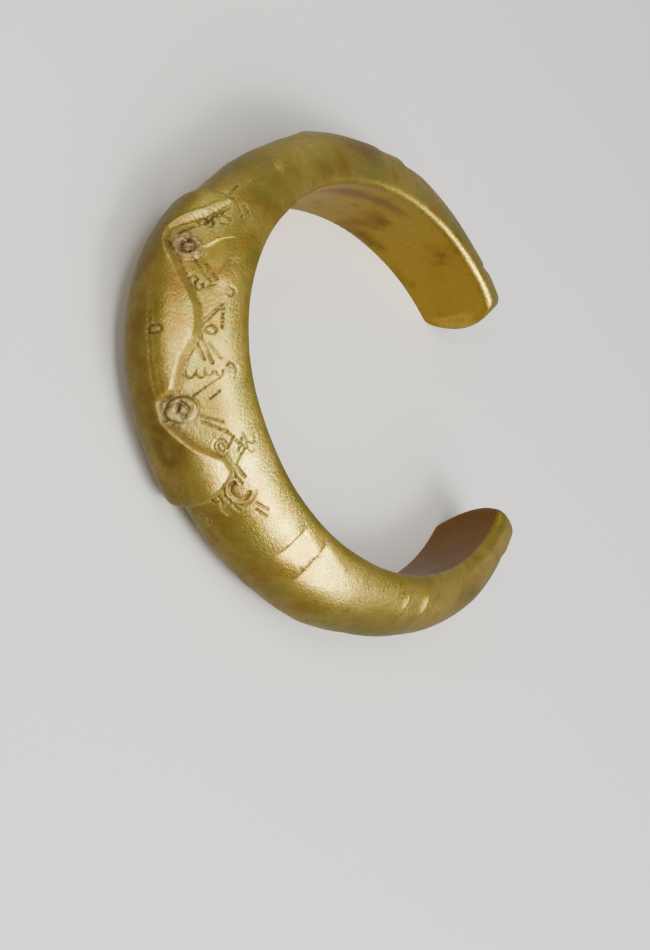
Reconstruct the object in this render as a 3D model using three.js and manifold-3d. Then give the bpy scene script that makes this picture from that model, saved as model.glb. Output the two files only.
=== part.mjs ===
// A cast bronze bangle: an open C of D section, with a lobed crest on its back, ring bosses in the
// crest's notches, stepped facets on the arms and collared terminals. It lies flat on its worn underside.
// Millimetres, +Z up. The mouth of the C faces +X and the crest faces -X.
import * as THREE from "three";
import { mergeVertices } from "three/addons/utils/BufferGeometryUtils.js";
import Module from "manifold-3d";

// The inner face follows an ellipse round the wrist. Stations are degrees round it from the back, -X,
// and they grow towards -Y.
const INNER_HALF_DEPTH = 36.5;
const INNER_HALF_WIDTH = 32;
const LEFT_END = -146.5;
const RIGHT_END = 145.5;

// The D section: its width runs along Z and its thickness outwards from the inner face.
const CREST_WIDTH = 19.4;
const TERMINAL_WIDTH = 15.4;
const ARM_THICKNESS = 9.9;
const TERMINAL_THICKNESS = 7.6;
const TAPER_START = 70;
const EDGE_ROUND = 0.9;
const UNDERSIDE_WEAR = 0.5;

// The crest is a raised pad with three lobes along its upper edge and a plain lower edge.
// The lobed edge is given as stations and reaches from the section's middle towards the upper face.
const LOBED_EDGE = [
  [-37.5, 0],
  [-36.6, 5.4],
  [-35.6, 6.5],
  [-29.5, 4.3],
  [-24.5, 0.3],
  [-22, 0.3],
  [-16, 3.1],
  [-11, 4.9],
  [-7.5, 5.85],
  [-3.5, 6.15],
  [-0.5, 5.9],
  [3.5, 4.3],
  [10, 2.7],
  [11.5, 0.3],
  [14.5, 0.3],
  [21.5, 3.5],
  [25.5, 6],
  [28.5, 6.3],
  [30.8, 5.1],
  [32.4, 2.4],
  [33.5, 0],
];
const CREST_START = LOBED_EDGE[0][0];
const CREST_END = LOBED_EDGE.at(-1)[0];
const CREST_HEIGHT = 3.5;
const CREST_START_HEIGHT = 1;
const CREST_END_HEIGHT = 2.4;
const CREST_END_ROUND = 3;
const CREST_SUNK = 0.8;
const LOBE_REACH = 6.3;
const LOBE_EDGE_FALL = 0.8;
const LOBE_DOME_POWER = 1.8;
const PLAIN_EDGE_REACH = 8.2;
const PLAIN_EDGE_FALL = 0.7;
const PLAIN_DOME_POWER = 4.5;

// A low swelling beside the crest floors the notches between the lobes and runs out on the flank.
const SWELL_SHARE = 0.9;
const SWELL_START = -1;
const SWELL_REACH = 7.2;
const SWELL_POWER = 1.7;
const SWELL_END_RUN = 6;
const SWELL_DIP = 0.15;

// Ring bosses with a centre pellet stand on that floor in the two notches, at these stations and
// section angles.
const BOSS_PLACES = [
  [-20.2, 70],
  [14, 73.6],
];
const BOSS_SUNK = 0.2;
const BOSS_RADIUS = 1.5;
const BOSS_TUBE = 0.65;
const PELLET_RADIUS = 0.75;

// Stepped facets cross the flanks of each arm in pairs: a slight lip, a step down, then a ramp back to the
// surface. The pairs on the two arms mirror each other about a station just off the back. On the left arm
// they are fainter and run on over the outer face. Each row is an offset from that station, then the lip
// and the depth on the left arm, then those on the right arm.
const FACET_MIRROR = -1.2;
const FACETS = [
  [51.6, 0.05, 0.08, 0.1, 0.4],
  [58.9, 0, 0, 0.1, 0.45],
  [92.4, 0.1, 0.15, 0.2, 0.4],
  [100, 0.2, 0.4, 0.3, 0.45],
];
const FACET_LIP_RUN = 5;
const FACET_RAMP = 14;
const FACET_MIDDLE_ANGLE = 38;
const FACET_HALF_ANGLE = 30;
const STEP_WIDTH = 0.25;

// The arms aren't even. Each row is a station and how far the outer face stands proud there, with straight
// runs between the rows. On the left arm the runs lie aslant, so that a ridge crosses the flank.
const ARM_RUNS = [
  [-144, 0],
  [-126, 0.4],
  [-117, 0.75],
  [-106, 0.6],
  [-74, 0.6],
  [-64, -0.6],
  [-46, -0.5],
  [-36, 0],
  [72, 0],
  [84, -0.9],
  [100, -0.8],
  [112, -0.45],
  [124, 0],
];
const RUN_FRONT_ANGLE = 10;
const RUN_FULL_ANGLE = 60;
const RUN_SLANT = 0.35;
const SLANT_ANGLE = 78;
const SLANT_START = 40;
const SLANT_SPAN = 14;

// A groove sets off the collar at each terminal, and the end bulges like a tongue.
const COLLAR_STATION = 136.8;
const COLLAR_DEPTH = 0.7;
const COLLAR_SPAN = 4.5;
const COLLAR_SWELL = 0.35;
const END_BULGE = 3;
const END_ROUND = 0.7;
const END_INSETS = [0.12, 0.45, 0.75];

// Steps of the surface grid. Crest columns run from the plain edge, -1, to the lobed edge, 1.
// Swelling columns run from its start, 0, to its reach, 1.
const ROW_STEP = 2.6;
const ARCH_STEPS = 20;
const INNER_STEPS = 4;
const CREST_ROWS = 46;
const CREST_COLUMNS = [-1, -0.9, -0.7, -0.35, 0, 0.35, 0.7, 1];
const SWELL_ROWS = 26;
const SWELL_COLUMNS = [0, 0.2, 0.4, 0.6, 0.8, 1];

const RADIANS = Math.PI / 180;
const BRONZE = new THREE.MeshStandardMaterial({ color: 0x9a7f35, roughness: 0.32, metalness: 1 });

function smoothStep(value) {
  const t = Math.min(1, Math.max(0, value));
  return t * t * (3 - 2 * t);
}

// The inner line at a station, with the directions outwards and along the ring.
function ringFrame(station) {
  const angle = station * RADIANS;
  const along = new THREE.Vector3(
    INNER_HALF_DEPTH * Math.sin(angle),
    -INNER_HALF_WIDTH * Math.cos(angle),
    0,
  ).normalize();
  return {
    point: new THREE.Vector3(-INNER_HALF_DEPTH * Math.cos(angle), -INNER_HALF_WIDTH * Math.sin(angle), 0),
    outward: new THREE.Vector3(along.y, -along.x, 0),
    along,
  };
}

function endOf(station) {
  return station < 0 ? LEFT_END : RIGHT_END;
}

function widthAt(station) {
  return CREST_WIDTH - (CREST_WIDTH - TERMINAL_WIDTH) * (station / endOf(station)) ** 2;
}

// The collar's groove steps in at its station and swells back towards the end.
function collarLift(station) {
  const past = Math.abs(station) - COLLAR_STATION;
  if (past < 0) return 0;
  const recovery = smoothStep(past / COLLAR_SPAN);
  return (COLLAR_DEPTH + COLLAR_SWELL) * recovery - COLLAR_DEPTH;
}

function thicknessAt(station) {
  const armLength = Math.abs(endOf(station)) - TAPER_START;
  const taper = Math.max(0, (Math.abs(station) - TAPER_START) / armLength);
  return ARM_THICKNESS - (ARM_THICKNESS - TERMINAL_THICKNESS) * taper ** 2 + collarLift(station);
}

// How far the facets raise or cut the surface at a station and a section angle.
function facetLift(station, sectionAngle) {
  const fromEdge = Math.min(sectionAngle, 180 - sectionAngle);
  const offMiddle = station < 0 ? Math.min(0, fromEdge - FACET_MIDDLE_ANGLE) : fromEdge - FACET_MIDDLE_ANGLE;
  const across = 1 - (offMiddle / FACET_HALF_ANGLE) ** 2;
  if (across <= 0) return 0;
  let raised = 0;
  let cut = 0;
  for (const [offset, ...sides] of FACETS) {
    const past = Math.abs(station - FACET_MIRROR) - offset;
    const [lip, depth] = station < 0 ? sides.slice(0, 2) : sides.slice(2);
    if (past < 0) raised = Math.max(raised, lip * (1 + past / FACET_LIP_RUN));
    else cut = Math.max(cut, depth * (1 - past / FACET_RAMP));
  }
  return across * (raised - cut);
}

// How far the uneven arms stand proud of the plain section, or short of it.
function armLift(station, sectionAngle) {
  const fromEdge = Math.min(sectionAngle, 180 - sectionAngle);
  const share = smoothStep((fromEdge - RUN_FRONT_ANGLE) / (RUN_FULL_ANGLE - RUN_FRONT_ANGLE));
  const onLeft = Math.min(1, Math.max(0, (-station - SLANT_START) / SLANT_SPAN));
  const aslant = station - onLeft * RUN_SLANT * (SLANT_ANGLE - fromEdge);
  const next = ARM_RUNS.findIndex(([runStation]) => runStation > aslant);
  if (next < 1) return 0;
  const [start, startLift] = ARM_RUNS[next - 1];
  const [end, endLift] = ARM_RUNS[next];
  return share * THREE.MathUtils.mapLinear(aslant, start, end, startLift, endLift);
}

// A point of the section's arch as [outward, height], lifted along the section's own normal.
// Section angle 0 is the upper edge of the inner face, 90 the outermost line and 180 the lower edge.
function archPoint(station, sectionAngle, lift) {
  const angle = sectionAngle * RADIANS;
  const halfWidth = widthAt(station) / 2;
  const thickness = thicknessAt(station);
  const normal = new THREE.Vector2(Math.sin(angle) * halfWidth, Math.cos(angle) * thickness).normalize();
  const raised = lift + facetLift(station, sectionAngle) + armLift(station, sectionAngle);
  const outward = thickness * Math.sin(angle) + normal.x * raised;
  const height = halfWidth * (1 + Math.cos(angle)) + normal.y * raised - UNDERSIDE_WEAR;
  return { outward, height, normal };
}

function placed(frame, outward, height) {
  const point = frame.point.clone().addScaledVector(frame.outward, outward);
  point.z = Math.max(0, height);
  return point;
}

// One closed outline of the section: over the arch, round the lower edge, and back along the inner face.
function sectionOutline(station) {
  const width = widthAt(station);
  const startAngle = Math.asin(EDGE_ROUND / thicknessAt(station)) / RADIANS;
  const outline = [];
  for (let i = 0; i <= ARCH_STEPS; i++) {
    const sectionAngle = startAngle + ((180 - 2 * startAngle) * i) / ARCH_STEPS;
    const { outward, height } = archPoint(station, sectionAngle, 0);
    outline.push([outward, height]);
  }
  const cornerInset = EDGE_ROUND * (1 - Math.SQRT1_2);
  outline.push([cornerInset, cornerInset - UNDERSIDE_WEAR]);
  for (let i = 0; i <= INNER_STEPS; i++) {
    const height = EDGE_ROUND + ((width - 2 * EDGE_ROUND) * i) / INNER_STEPS;
    outline.push([0, height - UNDERSIDE_WEAR]);
  }
  outline.push([cornerInset, width - cornerInset - UNDERSIDE_WEAR]);
  return outline;
}

// Rows at an even step, with two close rows at each facet and at each collar groove for a crisp step.
function rowStations() {
  const length = RIGHT_END - LEFT_END;
  const rows = Math.round(length / ROW_STEP);
  const even = Array.from({ length: rows + 1 }, (_, i) => LEFT_END + (length * i) / rows);
  const crisp = [];
  for (const side of [-1, 1]) {
    const steps = [...FACETS.map(([offset]) => FACET_MIRROR + side * offset), side * COLLAR_STATION];
    for (const step of steps) crisp.push(step, step - side * STEP_WIDTH);
  }
  const apart = ROW_STEP / 4;
  const kept = even.filter((station) => crisp.every((step) => Math.abs(station - step) > apart));
  return [...kept, ...crisp].sort((a, b) => a - b);
}

// A ring of points at a terminal: the section pushed out along the arm like a tongue, and drawn in by inset.
function endRing(station, inset, push) {
  const frame = ringFrame(station);
  const halfWidth = widthAt(station) / 2;
  const middle = halfWidth - UNDERSIDE_WEAR;
  const centre = thicknessAt(station) / 2;
  return sectionOutline(station).map(([outward, height]) => {
    const drawnIn = (height - middle) * (1 - inset);
    const bulge = END_BULGE * (1 - (drawnIn / halfWidth) ** 2);
    const point = placed(frame, centre + (outward - centre) * (1 - inset), middle + drawnIn);
    return point.addScaledVector(frame.along, Math.sign(station) * (push + bulge));
  });
}

// Closed surface from rings of equal length, with a fan at each end.
function loft(rings) {
  const count = rings[0].length;
  const middleOf = (ring) =>
    ring.reduce((sum, p) => sum.add(p), new THREE.Vector3()).divideScalar(ring.length);
  const points = [...rings.flat(), middleOf(rings[0]), middleOf(rings[rings.length - 1])];
  const index = [];
  for (let row = 0; row < rings.length - 1; row++) {
    for (let column = 0; column < count; column++) {
      const next = (column + 1) % count;
      const [a, b] = [row * count + column, row * count + next];
      const [c, d] = [a + count, b + count];
      index.push(a, b, c, b, d, c);
    }
  }
  const [firstMiddle, lastMiddle] = [points.length - 2, points.length - 1];
  const lastRow = (rings.length - 1) * count;
  for (let column = 0; column < count; column++) {
    const next = (column + 1) % count;
    index.push(firstMiddle, next, column, lastMiddle, lastRow + column, lastRow + next);
  }
  return new THREE.BufferGeometry().setFromPoints(points).setIndex(index);
}

function bodyGeometry() {
  const rings = rowStations().map((station) => {
    const frame = ringFrame(station);
    return sectionOutline(station).map(([outward, height]) => placed(frame, outward, height));
  });
  rings[0] = endRing(LEFT_END, 0, -END_ROUND);
  rings[rings.length - 1] = endRing(RIGHT_END, 0, -END_ROUND);
  const tongue = (station) => END_INSETS.map((inset) => endRing(station, inset, 0));
  return loft([...tongue(LEFT_END).reverse(), ...rings, ...tongue(RIGHT_END)]);
}

// How far the crest's lobed edge reaches from the middle of the section at a station.
function lobedReach(station) {
  const next = LOBED_EDGE.findIndex(([edgeStation]) => edgeStation >= station);
  const [end, endReach] = LOBED_EDGE[Math.max(1, next)];
  const [start, startReach] = LOBED_EDGE[Math.max(1, next) - 1];
  return THREE.MathUtils.mapLinear(station, start, end, startReach, endReach);
}

// Place along the crest: -1 at its start, 0 in its middle and 1 at its end.
function crestShare(station) {
  return THREE.MathUtils.mapLinear(station, CREST_START, CREST_END, -1, 1);
}

function plainReach(station) {
  return PLAIN_EDGE_REACH * Math.sqrt(Math.max(0, 1 - crestShare(station) ** 6));
}

function crestHeight(station) {
  const share = crestShare(station);
  const endHeight = share < 0 ? CREST_START_HEIGHT : CREST_END_HEIGHT;
  const height = THREE.MathUtils.lerp(CREST_HEIGHT, endHeight, share ** 2);
  const toEnd = Math.min(station - CREST_START, CREST_END - station);
  const intoEnd = Math.max(0, 1 - toEnd / CREST_END_ROUND);
  return height * Math.sqrt(1 - intoEnd ** 2);
}

// How far the crest's top stands over the plain section, falling from the middle towards both edges.
function crestLift(station, reach) {
  const fall =
    reach > 0
      ? LOBE_EDGE_FALL * (reach / LOBE_REACH) ** LOBE_DOME_POWER
      : PLAIN_EDGE_FALL * Math.min(1, -reach / plainReach(station)) ** PLAIN_DOME_POWER;
  return crestHeight(station) * (1 - fall);
}

// How far the swelling stands over the plain section. Where it runs out it dips under the surface.
function swellLift(station, reach) {
  const toEnd = Math.min(station - CREST_START, CREST_END - station);
  const runOut = Math.min(1, Math.max(0, reach / SWELL_REACH));
  const share = SWELL_SHARE * (1 - runOut) ** SWELL_POWER * smoothStep(toEnd / SWELL_END_RUN);
  return share * crestLift(station, reach) - SWELL_DIP;
}

// A closed grid on the back of the ring: a top lifted over the plain section, and a foot sunk in the body.
function padGeometry(rows, columns, reachAt, liftAt) {
  const rings = [];
  const margin = (CREST_END - CREST_START) / rows / 20;
  for (let row = 0; row <= rows; row++) {
    const station = THREE.MathUtils.lerp(CREST_START + margin, CREST_END - margin, row / rows);
    const frame = ringFrame(station);
    const halfWidth = widthAt(station) / 2;
    const pointAt = (column, sunk) => {
      const reach = reachAt(station, column);
      const sectionAngle = Math.acos(reach / halfWidth) / RADIANS;
      const lift = sunk ? -CREST_SUNK : liftAt(station, reach);
      const { outward, height } = archPoint(station, sectionAngle, lift);
      return placed(frame, outward, height);
    };
    const top = columns.toReversed().map((column) => pointAt(column, false));
    const foot = columns.map((column) => pointAt(column, true));
    rings.push([...top, ...foot]);
  }
  return loft(rings);
}

function crestGeometry() {
  const reachAt = (station, column) => column * (column > 0 ? lobedReach(station) : plainReach(station));
  return padGeometry(CREST_ROWS, CREST_COLUMNS, reachAt, crestLift);
}

function swellGeometry() {
  const reachAt = (station, column) => THREE.MathUtils.lerp(SWELL_START, SWELL_REACH, column);
  return padGeometry(SWELL_ROWS, SWELL_COLUMNS, reachAt, swellLift);
}

// Moves a geometry made about +Z to a station and section angle, lifted off the plain section, +Z outwards.
function standOn(geometry, station, sectionAngle, lift) {
  const frame = ringFrame(station);
  const { outward, height, normal } = archPoint(station, sectionAngle, lift);
  const up = frame.outward.clone().multiplyScalar(normal.x);
  up.z = normal.y;
  const across = new THREE.Vector3().crossVectors(up, frame.along);
  const matrix = new THREE.Matrix4().makeBasis(frame.along, across, up);
  matrix.setPosition(placed(frame, outward, height));
  return geometry.applyMatrix4(matrix);
}

function bossGeometries() {
  const made = [];
  for (const [station, sectionAngle] of BOSS_PLACES) {
    const reach = (widthAt(station) / 2) * Math.cos(sectionAngle * RADIANS);
    const lift = swellLift(station, reach) - BOSS_SUNK;
    const ring = new THREE.TorusGeometry(BOSS_RADIUS, BOSS_TUBE, 8, 20);
    const pellet = new THREE.SphereGeometry(PELLET_RADIUS, 10, 6);
    made.push(standOn(ring, station, sectionAngle, lift), standOn(pellet, station, sectionAngle, lift));
  }
  return made;
}

const wasm = await Module();
wasm.setup();

function toSolid(geometry) {
  const bare = geometry.clone();
  bare.deleteAttribute("normal");
  bare.deleteAttribute("uv");
  const merged = mergeVertices(bare, 1e-4);
  return new wasm.Manifold(
    new wasm.Mesh({
      numProp: 3,
      vertProperties: merged.attributes.position.array,
      triVerts: new Uint32Array(merged.index.array),
    }),
  );
}

function toGeometry(solid) {
  const { vertProperties, triVerts } = solid.getMesh();
  const geometry = new THREE.BufferGeometry();
  geometry.setAttribute("position", new THREE.BufferAttribute(vertProperties, 3));
  geometry.setIndex(new THREE.BufferAttribute(triVerts, 1));
  geometry.computeVertexNormals();
  return geometry;
}

// The origin is the middle of the underside's box.
function centred(geometry) {
  geometry.computeBoundingBox();
  const middle = geometry.boundingBox.getCenter(new THREE.Vector3());
  return geometry.translate(-middle.x, -middle.y, -geometry.boundingBox.min.z);
}

let cast = toSolid(bodyGeometry());
const raised = [swellGeometry(), crestGeometry(), ...bossGeometries()];
for (const geometry of raised) cast = cast.add(toSolid(geometry));

const bangle = new THREE.Mesh(centred(toGeometry(cast)), BRONZE);
bangle.name = "bangle";

const part = new THREE.Group();
part.add(bangle);
export default part;
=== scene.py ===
"""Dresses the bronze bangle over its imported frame.

The bangle is one casting. Its form follows the frame's solid, and the fine relief, the chased ornament
and the worn bronze finish are added here. Sizes are millimetres in the form classes and the camera, and
metres in the finish, the floor and the lights. A station is an angle in degrees round the ring from its
back, growing towards -Y. A section angle is in degrees over the outer face: 0 at the upper inner edge, 90
at the outermost line and 180 at the lower inner edge.
"""

import logging
from abc import ABC, abstractmethod
from dataclasses import dataclass, field
from enum import Enum
from math import radians

import bpy
import numpy as np
from mathutils import Euler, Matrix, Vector, noise


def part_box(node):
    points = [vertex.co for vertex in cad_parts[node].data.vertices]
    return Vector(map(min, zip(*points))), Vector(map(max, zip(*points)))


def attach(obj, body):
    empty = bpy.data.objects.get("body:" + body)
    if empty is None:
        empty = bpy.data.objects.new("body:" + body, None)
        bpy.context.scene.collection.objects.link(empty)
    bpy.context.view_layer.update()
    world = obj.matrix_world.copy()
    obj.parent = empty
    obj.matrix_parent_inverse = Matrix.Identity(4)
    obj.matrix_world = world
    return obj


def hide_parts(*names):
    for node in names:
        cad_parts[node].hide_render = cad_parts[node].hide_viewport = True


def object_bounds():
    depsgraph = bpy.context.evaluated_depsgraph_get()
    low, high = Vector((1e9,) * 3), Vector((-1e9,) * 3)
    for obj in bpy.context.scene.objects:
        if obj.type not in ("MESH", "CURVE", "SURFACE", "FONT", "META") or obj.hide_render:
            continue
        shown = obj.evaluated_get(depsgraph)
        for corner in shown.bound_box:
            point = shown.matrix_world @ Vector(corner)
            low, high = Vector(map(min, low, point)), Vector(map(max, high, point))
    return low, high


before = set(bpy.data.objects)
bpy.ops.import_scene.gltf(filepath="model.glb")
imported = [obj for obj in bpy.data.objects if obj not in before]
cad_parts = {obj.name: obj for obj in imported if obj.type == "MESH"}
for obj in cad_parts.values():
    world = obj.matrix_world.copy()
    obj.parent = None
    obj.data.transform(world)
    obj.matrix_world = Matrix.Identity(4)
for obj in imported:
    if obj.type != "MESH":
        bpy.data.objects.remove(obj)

CAD_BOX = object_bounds()
MM = 0.001
LOG = logging.getLogger("bangle")

Spot = tuple[float, float]
Grain = tuple[float, float]
Triple = tuple[float, float, float]
Colour = tuple[float, float, float]
Limits = tuple[float, float, float, float]

BACK_LINE: Spot = (0.0, 90.0)
FLANK_MIDDLE: Spot = (0.0, 50.0)


def smooth_step(value: np.ndarray) -> np.ndarray:
    """Eases values from 0 to 1, level at both ends."""
    share = np.clip(value, 0.0, 1.0)
    return share * share * (3.0 - 2.0 * share)


def bell(distance: np.ndarray, width: float) -> np.ndarray:
    """Gives a rounded peak of 1 at distance 0 that fades over a width."""
    return np.exp(-((distance / width) ** 2))


def rounded(share: np.ndarray) -> np.ndarray:
    """Rises from 0 to 1 as a quarter circle does, upright at first and level at last."""
    near = np.clip(share, 0.0, 1.0)
    return np.sqrt(1.0 - (1.0 - near) ** 2)


def pillowed(share: np.ndarray) -> np.ndarray:
    """Rises from 0 to 1 as the edge of a pillow does, sloping at first and level at last."""
    near = np.clip(share, 0.0, 1.0)
    return near * (2.0 - near)


def noise_at(points: np.ndarray, size: float, shift: float = 0.0) -> np.ndarray:
    """Samples smooth noise.

    Args:
        points: places in millimetres, with a last axis of three.
        size: how large the noise's waves are, in millimetres.
        shift: a shift that makes one noise differ from another.

    Returns:
        The noise at each place, about -1 to 1.
    """
    flat = points.reshape(-1, 3) / size + shift
    values = np.fromiter((noise.noise(Vector(place)) for place in flat), float, len(flat))
    return values.reshape(points.shape[:-1])


@dataclass(frozen=True)
class RingForm:
    """The plain open ring of D section that everything else is raised on or cut in."""

    inner_half_depth: float = 36.5
    inner_half_width: float = 32.0
    left_end: float = -146.5
    right_end: float = 145.5
    crest_width: float = 19.4
    terminal_width: float = 15.4
    arm_thickness: float = 9.9
    terminal_thickness: float = 7.6
    taper_start: float = 70.0
    upper_round: float = 1.9
    lower_round: float = 0.8
    underside_wear: float = 0.5
    collar_station: float = 136.8
    collar_depth: float = 0.7
    collar_span: float = 4.5
    collar_swell: float = 0.35
    collar_step: float = 0.5
    middle_x: float = 5.831
    middle_y: float = -0.74

    def end_of(self, station: np.ndarray) -> np.ndarray:
        """Gives the end station of the arm that each station is on."""
        return np.where(station < 0, self.left_end, self.right_end)

    def width(self, station: np.ndarray) -> np.ndarray:
        """Gives the section's width along Z, which narrows towards the terminals."""
        narrowing = self.crest_width - self.terminal_width
        return self.crest_width - narrowing * (station / self.end_of(station)) ** 2

    def collar_lift(self, station: np.ndarray) -> np.ndarray:
        """Shapes the collar's groove and the swell behind it.

        Args:
            station: stations of any shape.

        Returns:
            The change of thickness at each station.
        """
        past = np.abs(station) - self.collar_station
        entry = smooth_step(past / self.collar_step + 1.0)
        recovery = smooth_step(past / self.collar_span)
        return (self.collar_depth + self.collar_swell) * recovery - self.collar_depth * entry

    def thickness(self, station: np.ndarray) -> np.ndarray:
        """Measures the section outwards from the inner face.

        Args:
            station: stations of any shape.

        Returns:
            The thickness at each station, which thins towards the terminals.
        """
        arm = np.abs(self.end_of(station)) - self.taper_start
        taper = np.maximum(0.0, (np.abs(station) - self.taper_start) / arm)
        thinning = self.arm_thickness - self.terminal_thickness
        return self.arm_thickness - thinning * taper**2 + self.collar_lift(station)

    def axes(self, station: np.ndarray) -> tuple[np.ndarray, np.ndarray, np.ndarray]:
        """Gives the inner line and the directions there.

        Args:
            station: stations of any shape.

        Returns:
            The points, the outward directions and the directions along the ring, each with a last
            axis of two, X and Y.
        """
        angle = np.radians(station)
        depth, width = self.inner_half_depth, self.inner_half_width
        point = np.stack([self.middle_x - depth * np.cos(angle), self.middle_y - width * np.sin(angle)], -1)
        along = np.stack([depth * np.sin(angle), -width * np.cos(angle)], -1)
        along /= np.linalg.norm(along, axis=-1, keepdims=True)
        outward = np.stack([along[..., 1], -along[..., 0]], -1)
        return point, outward, along

    def pace(self, spot: Spot) -> tuple[float, float]:
        """Measures a degree on the outer face.

        Args:
            spot: the station and the section angle to measure at.

        Returns:
            Millimetres for one degree of station and for one degree of section angle.
        """
        station, angle = np.radians(spot)
        depth, width = self.inner_half_depth, self.inner_half_width
        inner_pace = np.hypot(depth * np.sin(station), width * np.cos(station))
        curvature = depth * width / inner_pace**3
        thickness = float(self.thickness(np.array(spot[0])))
        half_width = float(self.width(np.array(spot[0]))) / 2
        along = inner_pace * (1.0 + curvature * thickness * np.sin(angle))
        across = np.hypot(half_width * np.sin(angle), thickness * np.cos(angle))
        return float(np.radians(along)), float(np.radians(across))


@dataclass(frozen=True)
class OuterFace:
    """All grid points of the outer face, as stations and section angles."""

    form: RingForm
    station: np.ndarray
    angle: np.ndarray

    @property
    def reach(self) -> np.ndarray:
        """Distances from the section's middle towards the upper face."""
        return self.form.width(self.station) / 2 * np.cos(np.radians(self.angle))

    def around(self, spot: Spot) -> tuple[np.ndarray, np.ndarray]:
        """Measures the face from a spot, in millimetres.

        Args:
            spot: the station and the section angle to measure from.

        Returns:
            Distances along the ring and down the face.
        """
        along_pace, across_pace = self.form.pace(spot)
        return (self.station - spot[0]) * along_pace, (self.angle - spot[1]) * across_pace

    def shaken(self, along: np.ndarray, across: np.ndarray) -> "OuterFace":
        """Gives the face as an unsteady hand meets it.

        Args:
            along: shifts along the ring, in millimetres.
            across: shifts down the face, in millimetres.

        Returns:
            A face whose stations and section angles are shifted so.
        """
        along_pace, across_pace = self.form.pace(FLANK_MIDDLE)
        return OuterFace(self.form, self.station + along / along_pace, self.angle + across / across_pace)


@dataclass(frozen=True)
class Relief:
    """What a feature does to the face: its lift in millimetres, and the share of dirt that it holds, which on
    the crest's lobe walls is painted shade and in the crease at their foot is dirt with painted shade.
    """

    lift: np.ndarray
    dirt: np.ndarray


class Feature(ABC):
    """Something raised on the outer face or cut in it."""

    @abstractmethod
    def relief(self, face: OuterFace) -> Relief:
        """Works out the feature's relief.

        Args:
            face: the outer face's grid.

        Returns:
            The relief over the whole face.
        """


@dataclass(frozen=True)
class Stroke(Feature):
    """A straight chased line, plain or beaded by the punch."""

    start: Spot
    end: Spot
    width: float = 0.18
    depth: float = 0.17
    lip: float = 0.01
    bead: float = 0.0
    soil: float = 1.0
    bead_share: float = 0.45
    soil_gain: float = 1.5
    soil_spread: float = 1.6

    def relief(self, face: OuterFace) -> Relief:
        """Cuts the line with a slight lip beside it, or raises it where its depth is negative.

        Args:
            face: the outer face's grid.

        Returns:
            The line's relief.
        """
        middle = ((self.start[0] + self.end[0]) / 2, (self.start[1] + self.end[1]) / 2)
        along, across = face.around(middle)
        pace = face.form.pace(middle)
        half = ((self.end[0] - middle[0]) * pace[0], (self.end[1] - middle[1]) * pace[1])
        length = np.hypot(*half)
        share = (along * half[0] + across * half[1]) / length**2
        held = np.clip(share, -1.0, 1.0)
        distance = np.hypot(along - held * half[0], across - held * half[1])
        cut = bell(distance, self.width)
        if self.bead:
            beads = np.cos(2 * np.pi * share * length / self.bead)
            cut = cut * (1.0 - self.bead_share + self.bead_share * beads)
        lip = self.lip * bell(distance - 2.0 * self.width, self.width)
        dirt = np.minimum(1.0, self.soil_gain * bell(distance, self.soil_spread * self.width))
        return Relief(lip - self.depth * cut, self.soil * dirt)


@dataclass(frozen=True)
class RingMark(Feature):
    """A punched circle, or a part of one, about a spot."""

    spot: Spot
    radius: float
    stretch: float = 1.0
    facing: float = 0.0
    opening: float = 0.0
    width: float = 0.15
    depth: float = 0.18
    end_fade: float = 12.0
    soil_gain: float = 1.5
    soil_power: float = 0.4

    def relief(self, face: OuterFace) -> Relief:
        """Cuts the circle, or raises it where its depth is negative, open about the way it faces.

        Args:
            face: the outer face's grid.

        Returns:
            The circle's relief.
        """
        along, across = face.around(self.spot)
        distance = np.hypot(along, across / self.stretch) - self.radius
        cut = bell(distance, self.width)
        if self.opening:
            turn = np.degrees(np.arctan2(across, along)) - self.facing
            aside = np.abs((turn + 180.0) % 360.0 - 180.0)
            cut = cut * smooth_step((aside - self.opening / 2) / self.end_fade)
        dirt = np.minimum(1.0, self.soil_gain * cut**self.soil_power) * (self.depth > 0)
        return Relief(-self.depth * cut, dirt)


@dataclass(frozen=True)
class Boss(Feature):
    """A raised disc with a sunk ring about its middle."""

    spot: Spot
    radius: float = 2.15
    height: float = 0.6
    edge: float = 0.6
    ring_radius: float = 0.95
    ring_stretch: float = 1.2
    ring_power: float = 2.0
    ring_width: float = 0.22
    ring_depth: float = 0.42
    dish: float = 0.12
    crease_width: float = 0.2
    soil: float = 0.8

    def relief(self, face: OuterFace) -> Relief:
        """Raises the disc with a rounded edge, dishes it slightly and cuts its ring.

        Args:
            face: the outer face's grid.

        Returns:
            The boss's relief.
        """
        along, across = face.around(self.spot)
        distance = np.hypot(along, across)
        disc = self.height * rounded((self.radius - distance) / self.edge)
        disc = disc - self.dish * bell(distance, self.ring_radius)
        power = self.ring_power
        oval = (np.abs(along / self.ring_stretch) ** power + np.abs(across) ** power) ** (1.0 / power)
        ring = bell(oval - self.ring_radius, self.ring_width)
        crease = bell(distance - self.radius - self.crease_width / 2, self.crease_width)
        lift = disc - self.ring_depth * ring - self.dish * crease
        return Relief(lift, np.maximum(np.sqrt(ring), self.soil * crease))


@dataclass(frozen=True)
class Dent(Feature):
    """A shallow hollow, or a swelling where its depth is negative."""

    spot: Spot
    radius: float
    depth: float
    dirt: float = 0.0
    stretch: float = 1.0

    def relief(self, face: OuterFace) -> Relief:
        """Presses the hollow in.

        Args:
            face: the outer face's grid.

        Returns:
            The hollow's relief.
        """
        along, across = face.around(self.spot)
        hollow = bell(np.hypot(along / self.stretch, across), self.radius)
        return Relief(-self.depth * hollow, self.dirt * hollow)


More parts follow.
